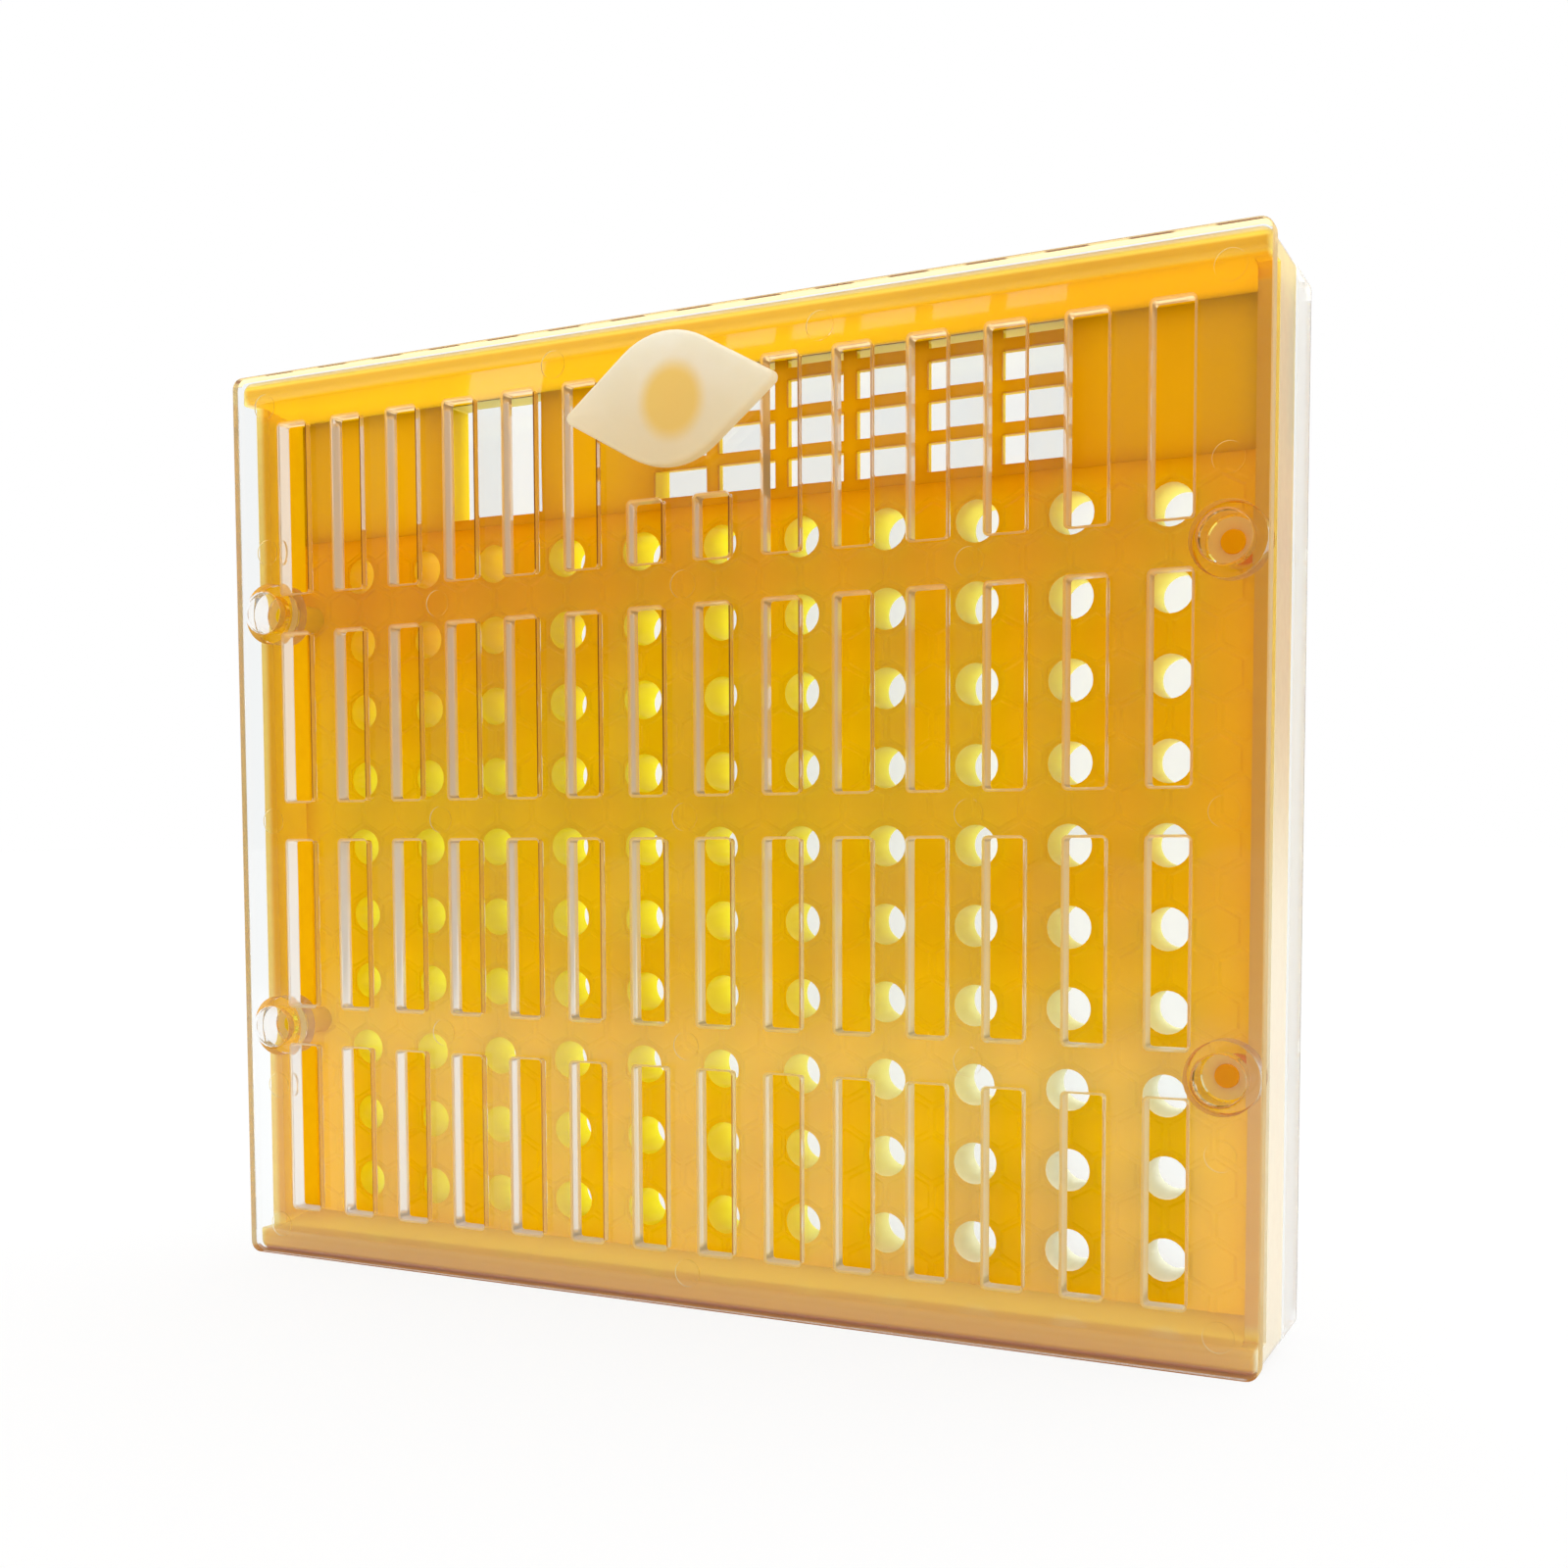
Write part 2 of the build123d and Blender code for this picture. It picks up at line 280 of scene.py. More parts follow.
def pin_mark_places():
    """Centres of the ejector marks, in the plain bands between and around the slots."""
    top = cover_height - pin_mark_margin
    side_rise = stud_rise + pin_mark_rise
    heights = (pin_mark_margin, cover_middle - side_rise, cover_middle, cover_middle + side_rise, top)
    places = [(side * stud_x, z) for side in (-1, 1) for z in heights]
    bands = [cover_middle + row * slot_pitch[1] for row in (-1, 0, 1)]
    places += [(column * slot_pitch[0], z) for column in (-4, 0, 4) for z in bands]
    return np.array(places + [(-2 * slot_pitch[0], top), (2 * slot_pitch[0], top), (0, pin_mark_margin)])


def wall_material_slots(outline, profile):
    """Material slot of each face of a slot's wall: its rounded front edge at the right takes the one with
    painted shade.
    """
    face_slots = np.full((len(profile) - 1, len(outline)), SLOT_WALL)
    middle = (outline + np.roll(outline, -1, axis=0)) / 2
    face_slots[:edge_steps, middle[:, 0] > outline[:, 0].max() - 0.01] = SLOT_EDGE
    return face_slots.ravel()


def make_front_cover(materials):
    """Clear plate: rounded walls carried round its edge, slots and hole, with studs and marks on its back."""
    outer = rectangle(cover_width, cover_height, cover_corner, corner_steps) + (0, cover_middle)
    plug_hole = circle(plug_hole_radius, hole_sides)[::-1] + plug_centre
    through = [outer, plug_hole, *slot_outlines()]
    rim = edge_profile(cover_thickness, cover_rim_front_round, cover_rim_back_round)
    wall = edge_profile(cover_thickness, cover_edge_round, cover_back_round)
    walls = [rim] + [wall] * (len(through) - 1)
    soft = cover_edge_round / 2
    hole = stud_hole_radius - stud_bore_radius
    side = stud_radius - stud_bore_radius
    stud_edge = edge_profile(stud_floor_depth, cover_edge_round, 0)[:edge_steps + 1]
    stud_bore = np.concatenate((stud_edge, [(0, stud_floor_depth - soft), (-soft, stud_floor_depth)]))
    stud_floor = [(-soft, stud_floor_depth), (hole, stud_floor_depth)]
    stud_outside = [(hole, stud_floor_depth), (hole, stud_back_depth), (side - soft, stud_back_depth),
                    (side, stud_back_depth - soft), (side, cover_thickness)]
    mark_depth = cover_thickness - pin_mark_depth
    bores = placed(circle(stud_bore_radius, bore_sides)[::-1], stud_places())
    marks = placed(circle(pin_mark_radius, hole_sides)[::-1], pin_mark_places())
    front = [line + profile[0, 0] * insets(line) for line, profile in zip(through, walls)]
    back = [line + profile[-1, 0] * insets(line) for line, profile in zip(through, walls)]
    front += [line + stud_bore[0, 0] * insets(line) for line in bores]
    back += [line + side * insets(line) for line in bores]
    parts = [(*carried(line, profile), RIM if profile is rim else wall_material_slots(line, profile))
             for line, profile in zip(through, walls)]
    parts += [
        (*carried(bores, stud_bore), PLAIN), (*carried(bores, stud_floor), STUD_FLOOR),
        (*carried(bores, stud_outside), STUD_SIDE),
        (*carried(marks, [(0, mark_depth), (0, cover_thickness)]), STUD_FLOOR),
        (*filled(front, 0, -1), PLAIN), (*filled(back + list(marks), cover_thickness, 1), PLAIN),
    ]
    parts += [(*filled([line], mark_depth, 1), PLAIN) for line in marks]
    return make_piece("front_cover_plate", parts, materials, "front_cover", ["front_cover"])


def make_plug(milky):
    """Milky plug: a crowned leaf, made of its outline drawn in towards the middle, on a hollow stem."""
    corners = [(plug_half_length, 0), (0, plug_half_height), (-plug_half_length, 0), (0, -plug_half_height)]
    radii = (plug_tip_round, plug_side_round, plug_tip_round, plug_side_round)
    angle = np.radians(plug_turn)
    turn = np.array(((np.cos(angle), np.sin(angle)), (-np.sin(angle), np.cos(angle))))
    leaf = rounded_polygon(corners, radii, leaf_steps) @ turn
    head = front_y - node_box("queen_plug")[0][1]
    back = -seat_gap
    steps = np.linspace(0, np.pi / 2, 7)
    edge = np.column_stack((plug_edge_round * (1 - np.cos(steps)), plug_edge_round * np.sin(steps)))
    rings = [(leaf + inset * insets(leaf), plug_crown + plug_edge_round - head - rise)
             for inset, rise in edge]
    face, face_depth = rings[-1]
    rings += [(face * share, face_depth - plug_crown * (1 - share ** 2)) for share in (0.8, 0.6, 0.4, 0.2)]
    rings = [(leaf, back)] + rings
    points = np.concatenate([np.insert(flat + plug_centre, 1, depth, axis=1) for flat, depth in rings])
    count = len(leaf)
    row, column = np.ogrid[:len(rings) - 1, :count]
    after = (column + 1) % count
    first = row * count
    corners = (first + column, first + after, first + count + after, first + count + column)
    sides = np.stack(np.broadcast_arrays(*corners), axis=-1).reshape(-1, 4)
    middle = np.arange(len(points) - count, len(points))[None]
    stem = circle(stem_radius, bore_sides)[::-1] + plug_centre
    bore = circle(stem_bore_radius, bore_sides)[::-1] + plug_centre
    end = node_box("queen_plug")[1][1] - front_y
    wall = stem_radius - stem_bore_radius
    tube = np.array([(-wall, back), (-wall, end), (-wall / 3, end), (0, end - wall / 3), (0, back)])
    parts = [(points, [sides, middle]), carried(stem, tube), filled([leaf + plug_centre, stem], back, 1),
             filled([bore], back, 1)]
    return make_piece("plug_leaf", [(*part, 0) for part in parts], [milky],
                      "queen_plug", ["queen_plug"], sharp=35.0)


def make_comb(plate, thin_painted_amber):
    """Comb: hexagonal cells with raised borders; socket cells open into tubes behind the plate.

    A cell's place is its column times the cell's width, half a cell further in every second row, and its row
    times the pitch of the rows.
    """
    low, high = node_box("comb_plate")
    plate_front = low[1] - front_y
    tube_end = high[1] - front_y
    plate_back = tube_end - socket_tube_length
    limits = (low[[0, 2]] + comb_gap, high[[0, 2]] - comb_gap)
    first = int(np.floor((low[2] - lowest_socket_row) / cell_row_pitch))
    last = int(np.ceil((high[2] - lowest_socket_row) / cell_row_pitch))
    reach = int(high[0] / cell_width) + 2
    row, column = np.meshgrid(np.arange(first, last + 1), np.arange(-reach, reach + 1))
    row, column = row.ravel(), column.ravel()
    centres = np.column_stack(((column + row % 2 / 2) * cell_width, lowest_socket_row + row * cell_row_pitch))
    even = (row % 2 == 0) & (column % 2 == 0)
    inside = (row >= 0) & (row < 2 * socket_rows) & (abs(column) <= socket_columns - 1)
    socket = even & inside
    squash = cell_row_pitch / (cell_width * np.sqrt(3) / 2)
    hexagon = circle(cell_width / np.sqrt(3), 6, np.pi / 6) * (1, squash)

    def ring(places, share, depth):
        """Hexagons of a share of the cell's size at a depth; on the plate's border they lie flat."""
        flat = np.clip(placed(hexagon * share, places), *limits)
        on_edge = ((flat == limits[0]) | (flat == limits[1])).any(axis=2)
        return np.insert(flat, 1, np.where(on_edge, plate_front, depth), axis=2)

    def cells(places, foot_share):
        """Three hexagons per cell, joined by quads: its outline, and its ridge's inner edge and foot."""
        top = plate_front - ridge_height
        edge_share = 1 - ridge_width / cell_width
        loops = np.stack((ring(places, 1, top), ring(places, edge_share, top),
                          ring(places, foot_share, plate_front)), axis=1)
        copy, level, corner = np.ogrid[:len(places), :2, :6]
        after = (corner + 1) % 6
        begin = (copy * 3 + level) * 6
        quads = (begin + corner, begin + after, begin + 6 + after, begin + 6 + corner)
        return loops.reshape(-1, 3), np.stack(np.broadcast_arrays(*quads), axis=-1).reshape(-1, 4)

    # A cell has three rings of six points, and the third ring is its ridge's foot
    cell_points, foot = 18, 12
    plain_share = 1 - (ridge_width + 2 * ridge_foot) / cell_width
    socket_share = (socket_bore_radius + socket_lip) / (cell_width / 2 * squash)
    plain_points, plain_ridges = cells(centres[~socket], plain_share)
    floors = np.arange((~socket).sum())[:, None] * cell_points + np.arange(foot, cell_points)
    places = centres[socket]
    socket_points, socket_ridges = cells(places, socket_share)
    round_hole = placed(circle(socket_bore_radius, socket_sides, np.pi / 6), places)
    hole = np.insert(round_hole, 1, plate_front, axis=2).reshape(-1, 3)
    share = socket_sides // 6
    copy, side, step = np.ogrid[:len(places), :6, :share + 1]
    begin = copy * cell_points + foot
    outer = np.stack(np.broadcast_arrays(begin + side, begin + (side + 1) % 6), axis=-1)[:, :, 0]
    inner = len(socket_points) + copy * socket_sides + (side * share + share - step) % socket_sides
    sectors = np.concatenate((outer, inner), axis=-1).reshape(-1, share + 3)
    socket_points = np.concatenate((socket_points, hole))
    soft = socket_edge_round
    wall = socket_tube_radius - socket_bore_radius
    tube = [(0, plate_front), (0, plate_back), (0, tube_end - soft), (soft, tube_end),
            (wall - soft, tube_end), (wall, tube_end - soft), (wall, plate_back)]
    outlines = round_hole[:, ::-1]
    rims = [line + wall * insets(line) for line in outlines]
    border = ring(centres, 1, 0)[:, :, [0, 2]].reshape(-1, 2)
    to_edge = np.minimum(np.abs(border - limits[0]), np.abs(border - limits[1])).min(axis=1)
    border = np.unique(np.round(border[to_edge < 1e-6], 5), axis=0)
    middle = (limits[0] + limits[1]) / 2
    border = border[np.argsort(np.arctan2(*(border - middle).T[::-1]))]
    skirt = [(0, plate_front), (0, plate_back)]
    parts = [(plain_points, [plain_ridges, floors], PLATE), (socket_points, [socket_ridges, sectors], PLATE),
             (*carried(outlines, tube), TUBE), (*carried(border, skirt), PLATE),
             (*filled([border, *rims], plate_back, 1), PLATE)]
    return make_piece("honeycomb", parts, [plate, thin_painted_amber], "comb_body", ["comb_plate", "cell_rims"],
                      sharp=20.0)


# Settings of a smooth step and of a mix of colours, and the numbers of that mix's colour inputs and output
SMOOTH = {"interpolation_type": "SMOOTHSTEP"}
COLOURS = {"data_type": "RGBA"}
FIRST, SECOND, MIXED = 6, 7, 2


def linear(code):
    """Linear red, green and blue of an sRGB hex colour."""
    values = np.array([int(code[i:i + 2], 16) for i in (1, 3, 5)]) / 255
    values = np.where(values <= 0.04045, values / 12.92, ((values + 0.055) / 1.055) ** 2.4)
    return (*values.tolist(), 1.0)


def add(tree, kind, inputs=None, **settings):
    """Adds a node; an input takes a constant, an output or a node, which stands for its first output."""
    node = tree.nodes.new("ShaderNode" + kind)
    for name, value in settings.items():
        setattr(node, name, value)
    for name, value in (inputs or {}).items():
        source = value.outputs[0] if isinstance(value, bpy.types.Node) else value
        if isinstance(source, bpy.types.NodeSocket):
            tree.links.new(source, node.inputs[name])
        else:
            node.inputs[name].default_value = source
    return node


def new_material(name):
    """A node material without nodes, and its tree."""
    material = bpy.data.materials.new(name)
    material.use_nodes = True
    material.node_tree.nodes.clear()
    return material, material.node_tree


def within(tree, axes, limits, share=1.0):
    """Share that grows to its full value as a place goes through limits: an axis and two places along it.

    A limit that comes again also has a start and a pitch; its places are distances from the nearest start.
    """
    for axis, low, high, *again in limits:
        value = axes.outputs[axis]
        if again:
            start, pitch = again
            from_start = add(tree, "Math", {0: value, 1: start * MM}, operation="SUBTRACT")
            value = add(tree, "Math", {0: from_start, 1: pitch / 2 * MM}, operation="PINGPONG")
        step = {"Value": value, "From Min": low * MM, "From Max": high * MM, "To Max": share}
        share = add(tree, "MapRange", step, **SMOOTH)
    return share


def amber_polypropylene(name, paint_code, glow_code, through=0.88, gloss=1.0, grain=(18, 18, 18), zones=(),
                        shares=()):
    """Moulded translucent polypropylene: light comes through it amber, and its skin has a soft gloss.

    through is the share of light that goes through, gloss the strength of the skin's mirror and grain the
    size of its clouds along each axis. A zone is a tint of painted light or shade and the limits between
    which it sets in; shares gives other values of through with their limits.
    """
    material, tree = new_material(name)
    place = add(tree, "TexCoord").outputs["Object"]
    axes = add(tree, "SeparateXYZ", {"Vector": place})
    paint, glow = linear(paint_code), linear(glow_code)
    for code, *limits in zones:
        share, tint = within(tree, axes, limits), linear(code)
        paint = add(tree, "Mix", {0: share, FIRST: paint, SECOND: tint}, **COLOURS).outputs[MIXED]
        glow = add(tree, "Mix", {0: share, FIRST: glow, SECOND: tint}, **COLOURS).outputs[MIXED]
    for value, *limits in shares:
        step = {"Value": within(tree, axes, limits), "To Min": through, "To Max": value}
        through = add(tree, "MapRange", step, **SMOOTH)
    per_cloud = [1 / (size * MM) for size in grain]
    spread = add(tree, "VectorMath", {0: place, 1: per_cloud}, operation="MULTIPLY")
    cloud = add(tree, "TexNoise", {"Vector": spread, "Scale": 1.0, "Detail": 2.0}).outputs["Fac"]
    deep = add(tree, "MapRange", {"Value": cloud, "From Min": 0.3, "From Max": 0.7, "To Max": 0.12}, **SMOOTH)
    glow = add(tree, "Mix", {0: deep, FIRST: glow, SECOND: linear("#D89000")}, **COLOURS).outputs[MIXED]
    scattered = add(tree, "BsdfDiffuse", {"Color": paint})
    let_through = add(tree, "BsdfTranslucent", {"Color": glow})
    bulk = add(tree, "MixShader", {0: through, 1: scattered, 2: let_through})
    inside = add(tree, "NewGeometry").outputs["Backfacing"]
    outside = add(tree, "Math", {0: gloss, 1: inside}, operation="SUBTRACT", use_clamp=True)
    mirror = add(tree, "Fresnel", {"IOR": 1.49})
    share = add(tree, "Math", {0: mirror, 1: outside}, operation="MULTIPLY")
    skin = add(tree, "BsdfGlossy", {"Roughness": 0.12})
    surface = add(tree, "MixShader", {0: share, 1: bulk, 2: skin})
    add(tree, "OutputMaterial", {"Surface": surface})
    return material


def clear_acrylic(name, frost=0.0, low_code="#FFFFFF", high_code="#FFFFFF", inner_frost=0.0,
                  inner_code="#FFFFFF", zones=(), inner_zones=()):
    """Clear moulded acrylic, a little wavy; soft light goes straight on.

    frost is the share that its skin scatters where light meets it from outside, with one tint low and one
    high on the box; inner_frost and its tint are for light that the skin would throw back inside. Tints other
    than white are painted light and shade. A zone is another share and tint for both, with the limits between
    which it sets in; an inner zone is seen only from inside.
    """
    material, tree = new_material(name)
    place = add(tree, "TexCoord").outputs["Object"]
    axes = add(tree, "SeparateXYZ", {"Vector": place})
    inside = add(tree, "NewGeometry").outputs["Backfacing"]
    step = {"Value": axes.outputs["Z"], "From Min": 35 * MM, "From Max": 75 * MM}
    rise = add(tree, "MapRange", step, **SMOOTH)
    outer = {0: rise, FIRST: linear(low_code), SECOND: linear(high_code)}
    tint = add(tree, "Mix", outer, **COLOURS).outputs[MIXED]
    tint = add(tree, "Mix", {0: inside, FIRST: tint, SECOND: linear(inner_code)}, **COLOURS).outputs[MIXED]
    thrown_back = add(tree, "Fresnel", {"IOR": 1.49})
    inner_share = add(tree, "MapRange", {"Value": thrown_back, "To Max": inner_frost}, **SMOOTH)
    share = add(tree, "MapRange", {"Value": inside, "To Min": frost, "To Max": inner_share}, **SMOOTH)
    for seen, group in ((1.0, zones), (inside, inner_zones)):
        for value, code, *limits in group:
            there = within(tree, axes, limits, seen)
            tint = add(tree, "Mix", {0: there, FIRST: tint, SECOND: linear(code)}, **COLOURS).outputs[MIXED]
            share = add(tree, "MapRange", {"Value": there, "To Min": share, "To Max": value}, **SMOOTH)
    flow = add(tree, "TexNoise", {"Vector": place, "Scale": 1 / (14 * MM), "Detail": 1.0}).outputs["Fac"]
    glass = add(tree, "BsdfPrincipled", {
        "Base Color": linear("#FBFDFD"),
        "Roughness": 0.02,
        "IOR": 1.49,
        "Transmission Weight": 1.0,
        "Normal": add(tree, "Bump", {"Height": flow, "Distance": 0.12 * MM}),
    })
    paint = add(tree, "BsdfDiffuse", {"Color": tint})
    haze = add(tree, "BsdfTranslucent", {"Color": tint})
    frosting = add(tree, "MixShader", {0: 0.7, 1: paint, 2: haze})
    skin = add(tree, "MixShader", {0: share, 1: glass, 2: frosting})
    path = add(tree, "LightPath").outputs
    soft = add(tree, "Math", {0: path["Is Shadow Ray"], 1: path["Is Diffuse Ray"]}, operation="MAXIMUM")
    straight = add(tree, "BsdfTransparent", {"Color": linear("#F4F6F6")})
    surface = add(tree, "MixShader", {0: soft, 1: skin, 2: straight})
    add(tree, "OutputMaterial", {"Surface": surface})
    return material


def milky_polyethylene(name):
    """Milky moulded polyethylene, waxy and whitish; painted paler at the top and painted amber over its
    hollow stem.
    """
    material, tree = new_material(name)
    place = add(tree, "TexCoord").outputs["Object"]
    # Painted amber glow over the hollow stem: an oval, set off the stem's axis and a little flattened
    middle = (plug_centre + oval_shift) * MM
    arm = add(tree, "VectorMath", {0: place, 1: (middle[0], 0.0, middle[1])}, operation="SUBTRACT")
    flat = add(tree, "VectorMath", {0: arm, 1: (1.0, 0.0, oval_flatness)}, operation="MULTIPLY")
    radius = add(tree, "VectorMath", {0: flat}, operation="LENGTH").outputs["Value"]
    oval_edge = [(stem_bore_radius + margin) * MM for margin in (0.6, -1.4)]
    step = {"Value": radius, "From Min": oval_edge[0], "From Max": oval_edge[1]}
    thin_painted_amber = add(tree, "MapRange", step, **SMOOTH)
    height = add(tree, "SeparateXYZ", {"Vector": arm}).outputs["Z"]
    rise = add(tree, "MapRange", {"Value": height, "From Min": -8 * MM, "From Max": 8 * MM}, **SMOOTH)
    # Painted light: paler towards the top
    shades = {0: rise, FIRST: linear("#FFF4D0"), SECOND: linear("#FFFFF6")}
    wax_and_painted_light = add(tree, "Mix", shades, **COLOURS).outputs[MIXED]
    cloud = add(tree, "TexNoise", {"Vector": place, "Scale": 1 / (5 * MM), "Detail": 2.0}).outputs["Fac"]
    step = {"Value": cloud, "From Min": 0.35, "From Max": 0.65, "To Max": 0.3}
    dull = add(tree, "MapRange", step, **SMOOTH)
    wax_and_painted_light = add(tree, "Mix", {0: dull, FIRST: wax_and_painted_light, SECOND: linear("#F8F2D6")}, **COLOURS).outputs[MIXED]
    colour = add(tree, "Mix", {0: thin_painted_amber, FIRST: wax_and_painted_light, SECOND: linear("#FFE488")}, **COLOURS).outputs[MIXED]
    grain = add(tree, "TexNoise", {"Vector": place, "Scale": 1 / (0.5 * MM)}).outputs["Fac"]
    skin = add(tree, "BsdfPrincipled", {
        "Base Color": colour,
        "Roughness": 0.4,
        "IOR": 1.51,
        "Normal": add(tree, "Bump", {"Height": grain, "Distance": 0.01 * MM}),
    })
    glow = add(tree, "BsdfTranslucent", {"Color": colour})
    surface = add(tree, "MixShader", {0: 0.5, 1: skin, 2: glow})
    add(tree, "OutputMaterial", {"Surface": surface})
    return material


def lay_floor():
    """A wide pale floor, white to camera and glass, with a faint shadow; mirrors see it end in front."""
    mesh = bpy.data.meshes.new("floor")
    corners = np.array([(-1, -1, 0), (1, -1, 0), (1, 1, 0), (-1, 1, 0)]) * floor_reach * MM
    mesh.from_pydata(corners.tolist(), [], [(0, 1, 2, 3)])
    floor = bpy.data.objects.new("floor", mesh)
    bpy.context.collection.objects.link(floor)
    material, tree = new_material("white_matt_board")
    place = add(tree, "SeparateXYZ", {"Vector": add(tree, "TexCoord").outputs["Object"]}).outputs
    path = add(tree, "LightPath").outputs
    step = {"Value": path["Is Transmission Ray"], "To Min": 0.05, "To Max": 0.35}
    far = add(tree, "MapRange", step, **SMOOTH)
    start, end = np.array(floor_fade) * MM
    step = {"Value": place["Y"], "From Min": start, "From Max": end, "To Min": far}
    near = add(tree, "MapRange", step, **SMOOTH)
    level = add(tree, "Math", {0: path["Is Camera Ray"], 1: near}, operation="MAXIMUM")
    white = add(tree, "Emission", {"Color": linear("#FFFFFF"), "Strength": level})
    glass = add(tree, "Math", {0: path["Is Glossy Ray"], 1: path["Is Transmission Ray"]}, operation="MAXIMUM")
    seen = add(tree, "Math", {0: path["Is Camera Ray"], 1: glass}, operation="MAXIMUM")
    share = add(tree, "Math", {0: seen, 1: 0.85}, operation="MULTIPLY")
    paint = add(tree, "BsdfDiffuse", {"Color": linear("#CCCCCC")})
    surface = add(tree, "MixShader", {0: share, 1: paint, 2: white})
    add(tree, "OutputMaterial", {"Surface": surface})
    mesh.materials.append(material)


def light_studio():
    """White surroundings behind and above the box, dim ones in front of it; the camera sees plain white."""
    world = bpy.data.worlds.new("white_studio")
    bpy.context.scene.world = world
    world.use_nodes = True
    tree = world.node_tree
    tree.nodes.clear()
    path = add(tree, "LightPath").outputs
    way = add(tree, "TexCoord").outputs["Generated"]
    towards = add(tree, "VectorMath", {0: way, 1: bright_side}, operation="DOT_PRODUCT").outputs["Value"]
    step = {"Value": towards, "From Min": -0.5, "From Max": 0.4, "To Min": 0.65, "To Max": 2.7}
    soft_level = add(tree, "MapRange", step, **SMOOTH)
    step = {"Value": path["Is Transmission Ray"], "To Min": 0.02, "To Max": 0.35}
    front = add(tree, "MapRange", step, **SMOOTH)
    step = {"Value": towards, "From Min": -0.5, "From Max": 0.2, "To Min": front}
    sharp_level = add(tree, "MapRange", step, **SMOOTH)
    soft, sharp, white = (add(tree, "Background", {"Color": linear("#FFFFFF"), "Strength": level})
                          for level in (soft_level, sharp_level, 1.0))
    lit = add(tree, "MixShader", {0: path["Is Diffuse Ray"], 1: sharp, 2: soft})
    seen = add(tree, "MixShader", {0: path["Is Camera Ray"], 1: lit, 2: white})
    add(tree, "OutputWorld", {"Surface": seen})


def place_camera():
    """The photograph's camera."""
    data = bpy.data.cameras.new("camera")
    data.lens = camera_lens
    data.shift_x, data.shift_y = camera_shift
    data.clip_start = 0.01
    camera = bpy.data.objects.new("camera", data)
    bpy.context.collection.objects.link(camera)
    camera.location = np.array(camera_place) * MM
    camera.rotation_euler = np.radians(camera_turns)
    bpy.context.scene.camera = camera


# Amber plastic: plate, socket tubes, panel, posts and walls, with painted light and shade: tints deeper or
# paler as the light comes through them.
# A limit of a zone is an axis and the two places along it between which the tint sets in
right_half = ("X", 0, 50)
towards_right = ("X", -10, 50)
towards_foot = ("Z", 60, 15)
# Painted light and shade on the plate: deeper towards the right and the top, paler towards the foot
amber = amber_polypropylene(
    "amber_polypropylene_moulded", "#E0B000", "#F4D800", gloss=0.25,
    zones=[("#F4CC00", ("X", 10, 60)), ("#F8D800", ("Z", 60, 20)), ("#F0C400", ("Z", 65, 90))])
# Painted light on the socket tubes: deeper towards the upper left, paler towards the right and nearly white
# towards the lower right, where they also let less light through
thin_amber = amber_polypropylene(
    "amber_polypropylene_thin_wall", "#FFF848", "#FFFC40", through=0.7, gloss=0.3,
    zones=[("#FFE440", ("X", -15, -45), ("Z", 60, 85)), ("#FFFCB0", towards_right),
           ("#FFFFF0", towards_right, towards_foot)],
    shares=[(0.25, right_half, towards_foot)])
panel_low, panel_high = node_box("vent_panel")
behind_panel = ("Y", panel_low[1] + 0.2, panel_low[1] + 0.6)
panel_flange = ("Z", panel_high[2] - 1.5, panel_high[2] - 1.3)
# Painted light and shade on the panel: deeper towards the right; behind its front face pale yellow and under
# its flange paler, as if lit, where the flange also lets less light through
panel_amber = amber_polypropylene(
    "amber_polypropylene_panel", "#C89000", "#E0AA00", gloss=0.4,
    zones=[("#DAA200", ("X", -30, 60)), ("#FFF040", behind_panel), ("#FFF080", behind_panel, panel_flange)],
    shares=[(0.15, behind_panel, panel_flange)])
# Painted shade on the posts: deeper towards the right
post_amber = amber_polypropylene(
    "amber_polypropylene_posts", "#FFD800", "#FFE800", through=0.5, gloss=0.3,
    zones=[("#FFB800", ("X", -10, 10))])
wall_side, wall_top = node_box("body_walls")[1][[0, 2]]
right_inside = ("X", wall_side - 6.4, wall_side - 2.4)
right_outside = ("X", wall_side - 0.8, wall_side - 0.1)
left_outside = ("X", 1.4 - wall_side, 0.4 - wall_side)
ceiling = ("Z", wall_top - 4.7, wall_top - 4.1)
top_front = ("Z", wall_top - 2.7, wall_top - 2.4)
top_edge = ("Z", wall_top - 1.3, wall_top - 0.9)
top_skin = ("Z", wall_top - 0.8, wall_top - 0.4)
lower_right = ("Z", 80, 35)
# Painted light and shade on the walls: deeper towards the right; the right wall's inside deeper, paler low
# down; the bottom wall pale on top and dark brown at its foot; the top wall deeper, more so on the right,
# standing in for a reflection of the panel; the top rail's front deeper, its top edge pale and its top nearly
# white, as if lit from above; the right wall's outside pale cream, nearly white low down, and the left wall's
# outside pale lemon; some of these places also let less or more light through
wall_amber = amber_polypropylene(
    "amber_polypropylene_walls", "#E8B820", "#F6C800", through=0.7, grain=(40, 1.5, 1.5),
    zones=[("#EAC000", ("X", -40, 60)),
           ("#E4B040", right_inside), ("#F4CC70", right_inside, ("Z", 75, 30)),
           ("#FFDC50", ("Z", 4.6, 3.2)), ("#FFD868", ("Z", 3.2, 2.6)), ("#B86C18", ("Z", 1.0, 0.3)),
           ("#F8C000", ceiling), ("#F0AC00", ceiling, right_half),
           ("#F4C440", top_front), ("#E8B430", top_front, right_half),
           ("#FFF070", top_edge), ("#FFFFE8", top_skin),
           ("#FFF090", right_outside), ("#FFFBE0", right_outside, lower_right), ("#FFF4A8", left_outside)],
    shares=[(0.35, right_outside, lower_right), (0.35, ("Z", 5.0, 4.0), ("Z", 2.9, 3.2)),
            (0.95, ("Z", wall_top - 1.7, wall_top - 1.1))])
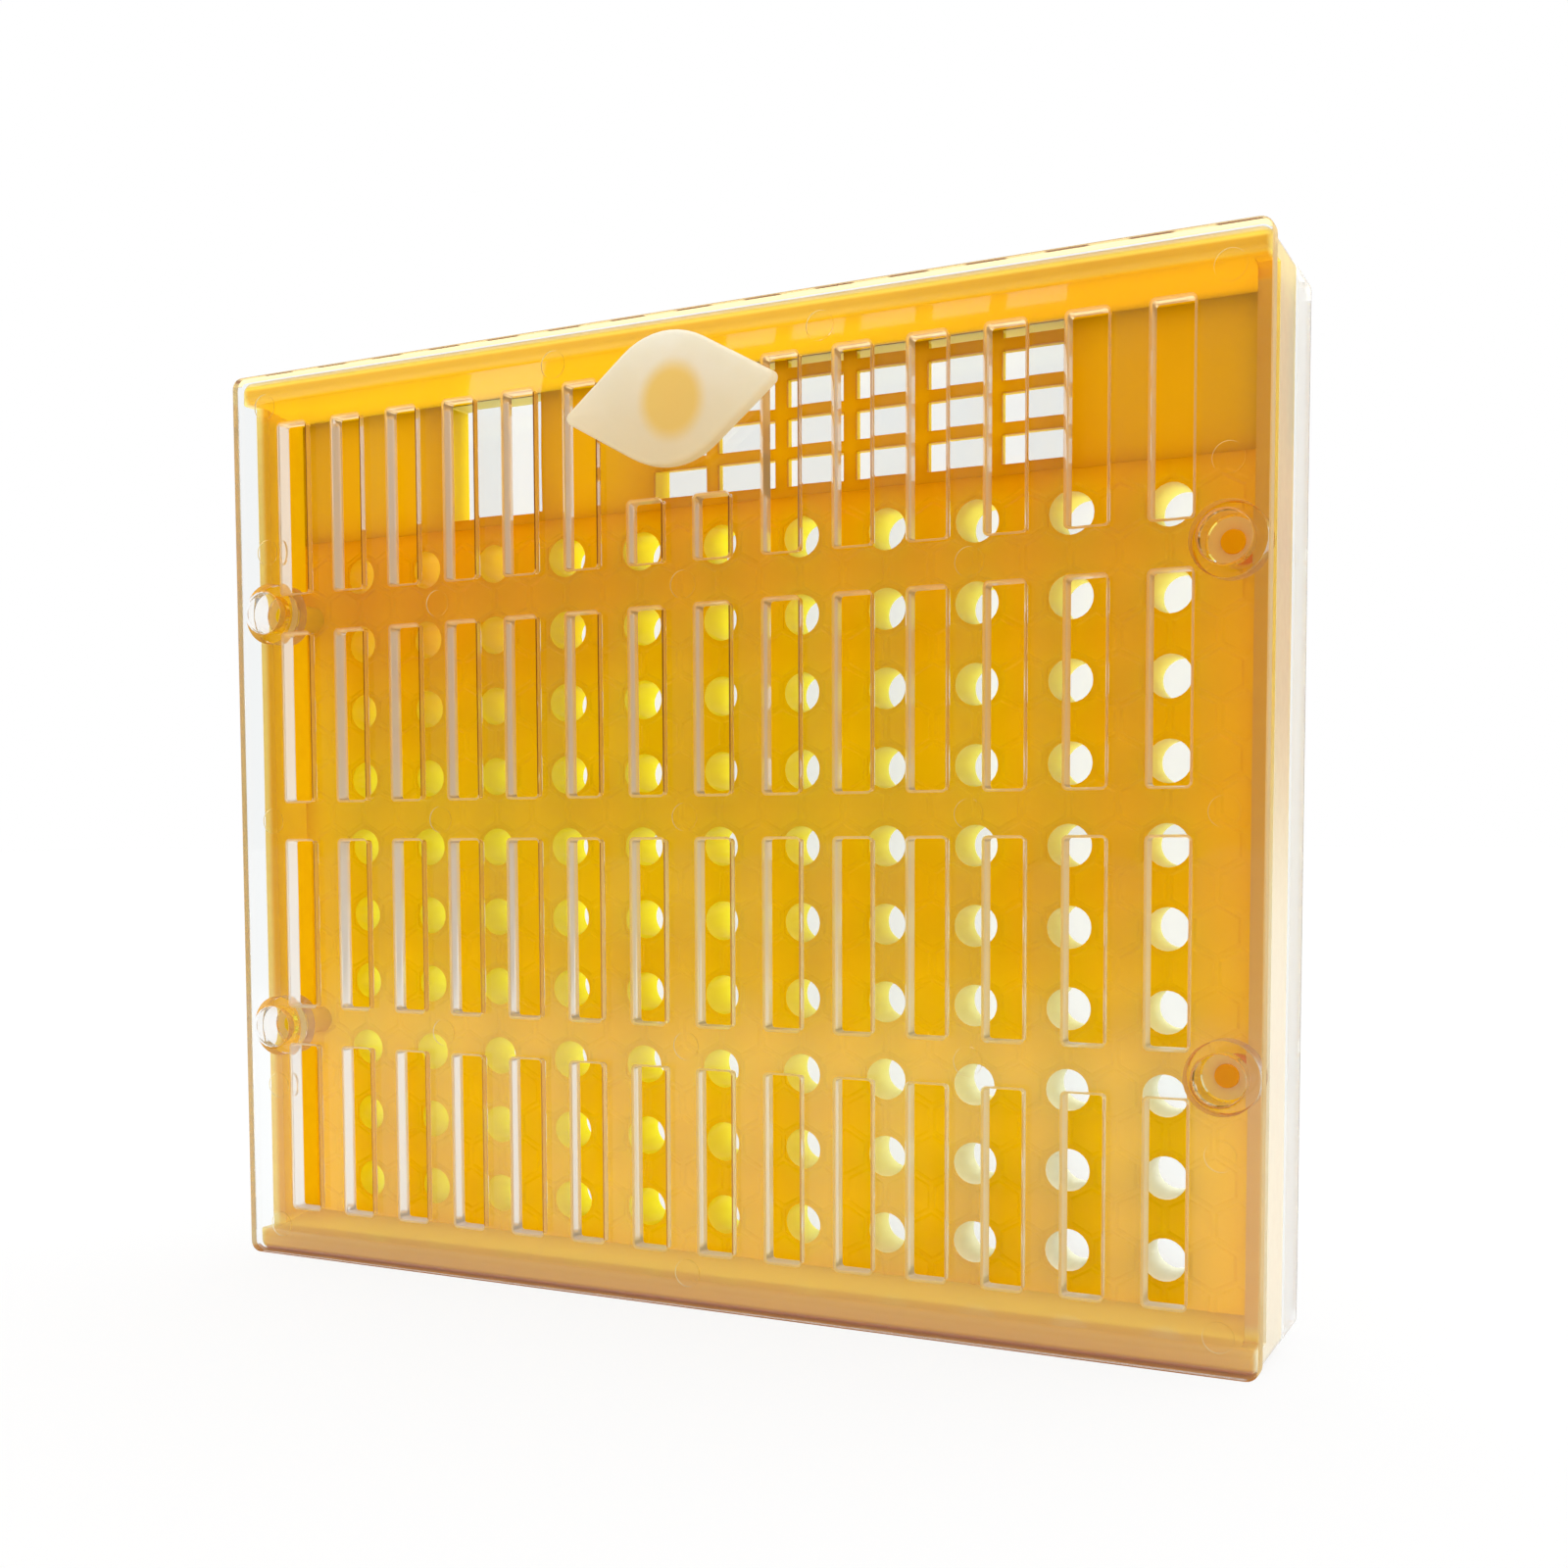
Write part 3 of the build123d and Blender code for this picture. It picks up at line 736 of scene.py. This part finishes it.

# Clear plastic: smooth faces, and skins that scatter more light on slot walls, studs, rim and rear cover,
# with tints of painted light and shade
clear = clear_acrylic("clear_acrylic_moulded")
rear_side, rear_back = node_box("rear_cover")[1][:2]
rear_face = ("Y", rear_back - 0.3, rear_back - 0.1)
rear_edge = [("Y", rear_back - 1.2, rear_back - 0.9), ("X", rear_side - 0.4, rear_side - 0.2)]
# Painted shade on the rear cover: a grey line along its right back edge
rear_clear = clear_acrylic(
    "clear_acrylic_rear", 0.3, inner_frost=0.7,
    zones=[(0.04, "#FFFFFF", rear_face), (0.7, "#8E8E86", *rear_edge)])
# Painted light on the slot walls: their scatter tinted amber higher up and from inside, and pale cream
# towards the lower right
satin = clear_acrylic(
    "clear_acrylic_slot_walls", 0.5, "#FFFFFF", "#FFDFA8", 0.6, "#E8B050",
    zones=[(0.55, "#FFF8D0", ("X", -25, 0), ("Z", 65, 45))])
# Painted light on the stud floors: their scatter tinted cream, yellower higher up, and amber from inside
frosted = clear_acrylic("clear_acrylic_stud_floors", 0.8, "#FFF2B8", "#FFE9A0", 0.5, "#F0C060")
# Painted light and shade in the rim: its scatter greyish cream, browner higher up and grey-brown from inside;
# pale cream towards the right edge, brown along the foot, khaki along the top and pale cream at the top's
# back edge
rim_right = ("X", cover_high[0] - 0.6, cover_high[0] - 0.2)
rim_top = ("Z", cover_height - 0.7, cover_height - 0.3)
rim_top_front = [rim_top, ("Y", front_y + 1.8, front_y + 1.5)]
rim_top_back = [("Z", cover_height - 1.0, cover_height - 0.6), ("Y", front_y + 1.5, front_y + 1.8)]
# Painted dark dashes in the rim, standing in for its reflection of the slots, about 4.4 wide and with the
# pitch of the slots
dashes = ("X", 2.5, 1.9, 1.9, slot_pitch[0])
hazy = clear_acrylic(
    "clear_acrylic_rim", 0.6, "#E8D8B4", "#D8BC90", 0.75, "#C0A880",
    zones=[(0.85, "#EED49A", rim_right), (0.85, "#B87830", ("Z", 1.0, 0.5)), (0.85, "#D8C090", rim_top),
           (0.85, "#FFEEB4", *rim_top_back)],
    inner_zones=[(0.9, "#805848", *rim_top_front, dashes)])
# Painted shade on the slots' right front edges: dark brown, darker higher up and paler towards the right
edge = clear_acrylic(
    "clear_acrylic_slot_edges", 0.9, "#D0A460", "#845010", zones=[(0.5, "#F0D0A0", ("X", 0, 40))])
# Painted light on the studs' sides: their scatter tinted amber higher up and from inside
stud_side = clear_acrylic("clear_acrylic_stud_sides", 0.15, "#FFFFFF", "#FFDFA8", 0.6, "#E8B050")
milky = milky_polyethylene("milky_polyethylene_moulded")

for node, material in {
    "rear_cover": rear_clear, "body_walls": wall_amber, "vent_panel": panel_amber, "cover_posts": post_amber,
    "rear_pegs": post_amber,
}.items():
    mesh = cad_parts[node].data
    mesh.materials.clear()
    mesh.materials.append(material)
make_front_cover([clear, satin, frosted, hazy, edge, stud_side])
make_plug(milky)
make_comb(amber, thin_amber)
lay_floor()
light_studio()
place_camera()
bpy.context.scene.view_settings.view_transform = "Standard"
